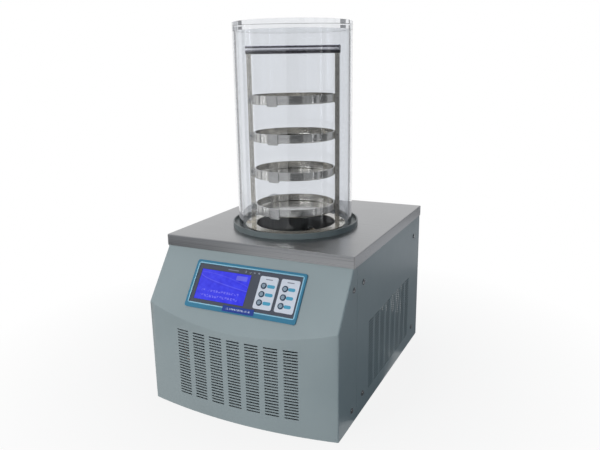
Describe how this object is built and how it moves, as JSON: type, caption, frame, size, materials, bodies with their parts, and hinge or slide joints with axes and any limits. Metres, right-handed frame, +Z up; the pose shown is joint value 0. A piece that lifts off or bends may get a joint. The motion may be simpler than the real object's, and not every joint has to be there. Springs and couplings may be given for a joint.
{
  "type": "freeze dryer",
  "caption": "Bench-top freeze dryer: vented cabinet with a sloped control panel, a clear bell jar over a rack of round trays, and a cold trap below.",
  "frame": {"origin": "middle of the bounding box at bench level, under the rubber feet", "axes": "+X to the right seen from the control panel, +Y to the back, +Z up"},
  "size_m": [0.4508, 0.615, 0.8255],
  "materials": {
    "painted_steel": "satin grey-green stoved paint",
    "stainless": "brushed",
    "zinc_steel": "zinc plated",
    "foot_rubber": "matt",
    "seal_rubber": "satin",
    "acrylic": "clear",
    "bezel_plastic": "satin",
    "overlay_film": "satin",
    "screen_glass": "gloss",
    "pad_film": "satin",
    "button_plastic": "satin",
    "plate_blue": "satin",
    "lamp_plastic": "gloss",
    "circuit_board": "satin",
    "foam": "matt",
    "copper": "bare copper",
    "compressor_paint": "gloss black",
    "aluminium": "plain",
    "fan_plastic": "matt",
    "brass": "plain",
    "black_plastic": "satin"
  },
  "bodies": {
    "cabinet": {"rubber_feet": "foot_rubber", "base_pan": "zinc_steel", "front_panel": "painted_steel", "side_panel_right": "painted_steel", "side_panel_left": "painted_steel", "rear_panel": "painted_steel", "top_plate": "stainless", "corner_posts": "zinc_steel", "cabinet_screws": "stainless", "panel_bezel": "bezel_plastic", "panel_overlay": "overlay_film", "lcd_screen": "screen_glass", "keypad_left": "pad_film", "keypad_right": "pad_film", "control_board": "circuit_board", "name_plate": "plate_blue", "status_lamps": "lamp_plastic", "cold_trap": "stainless", "evaporator_coil": "copper", "insulation_jacket": "foam", "seal_ring": "seal_rubber", "jar_tube": "acrylic", "jar_lid": "acrylic", "rack_base": "stainless", "rack_leg_left": "stainless", "rack_leg_right": "stainless", "rack_handle": "stainless", "rack_screws": "stainless", "compressor": "compressor_paint", "compressor_mounts": "foot_rubber", "condenser": "aluminium", "filter_drier": "copper", "discharge_line": "copper", "suction_line": "copper", "liquid_line": "copper", "fan_shroud": "zinc_steel", "fan_motor": "compressor_paint", "vacuum_pipe": "stainless", "vacuum_sensor": "aluminium", "drain_pipe": "stainless", "drain_valve": "brass", "power_entry": "black_plastic", "power_supply": "zinc_steel", "tray_holder_1": "stainless", "tray_1": "stainless", "tray_holder_2": "stainless", "tray_2": "stainless", "tray_holder_3": "stainless", "tray_3": "stainless", "tray_holder_4": "stainless", "tray_4": "stainless"},
    "fan": {"fan_blades": "fan_plastic"},
    "drain_lever": {"drain_lever": "zinc_steel"},
    "power_rocker": {"power_rocker": "black_plastic"},
    "button_1": {"button_1": "button_plastic"},
    "button_2": {"button_2": "button_plastic"},
    "button_3": {"button_3": "button_plastic"},
    "button_4": {"button_4": "button_plastic"},
    "button_5": {"button_5": "button_plastic"},
    "button_6": {"button_6": "button_plastic"}
  },
  "joints": [
    {"name": "button_1_press", "type": "slide", "parent": "cabinet", "child": "button_1", "axis": [0, 0.7987, -0.6017], "range_m": [0, 0.001], "stiffness_N_per_m": 1000},
    {"name": "button_2_press", "type": "slide", "parent": "cabinet", "child": "button_2", "axis": [0, 0.7987, -0.6017], "range_m": [0, 0.001], "stiffness_N_per_m": 1000},
    {"name": "button_3_press", "type": "slide", "parent": "cabinet", "child": "button_3", "axis": [0, 0.7987, -0.6017], "range_m": [0, 0.001], "stiffness_N_per_m": 1000},
    {"name": "button_4_press", "type": "slide", "parent": "cabinet", "child": "button_4", "axis": [0, 0.7987, -0.6017], "range_m": [0, 0.001], "stiffness_N_per_m": 1000},
    {"name": "button_5_press", "type": "slide", "parent": "cabinet", "child": "button_5", "axis": [0, 0.7987, -0.6017], "range_m": [0, 0.001], "stiffness_N_per_m": 1000},
    {"name": "button_6_press", "type": "slide", "parent": "cabinet", "child": "button_6", "axis": [0, 0.7987, -0.6017], "range_m": [0, 0.001], "stiffness_N_per_m": 1000},
    {"name": "fan_spin", "type": "hinge", "parent": "cabinet", "child": "fan", "pos_m": [0, -0.2096, 0.0945], "axis": [0, 1, 0], "continuous": true},
    {"name": "drain_lever_turn", "type": "hinge", "parent": "cabinet", "child": "drain_lever", "pos_m": [0, 0.2873, 0.119], "axis": [0, 1, 0], "range_deg": [-90, 0]},
    {"name": "power_rocker_tilt", "type": "hinge", "parent": "cabinet", "child": "power_rocker", "pos_m": [0.154, 0.2848, 0.308], "axis": [1, 0, 0], "range_deg": [0, 18]}
  ]
}
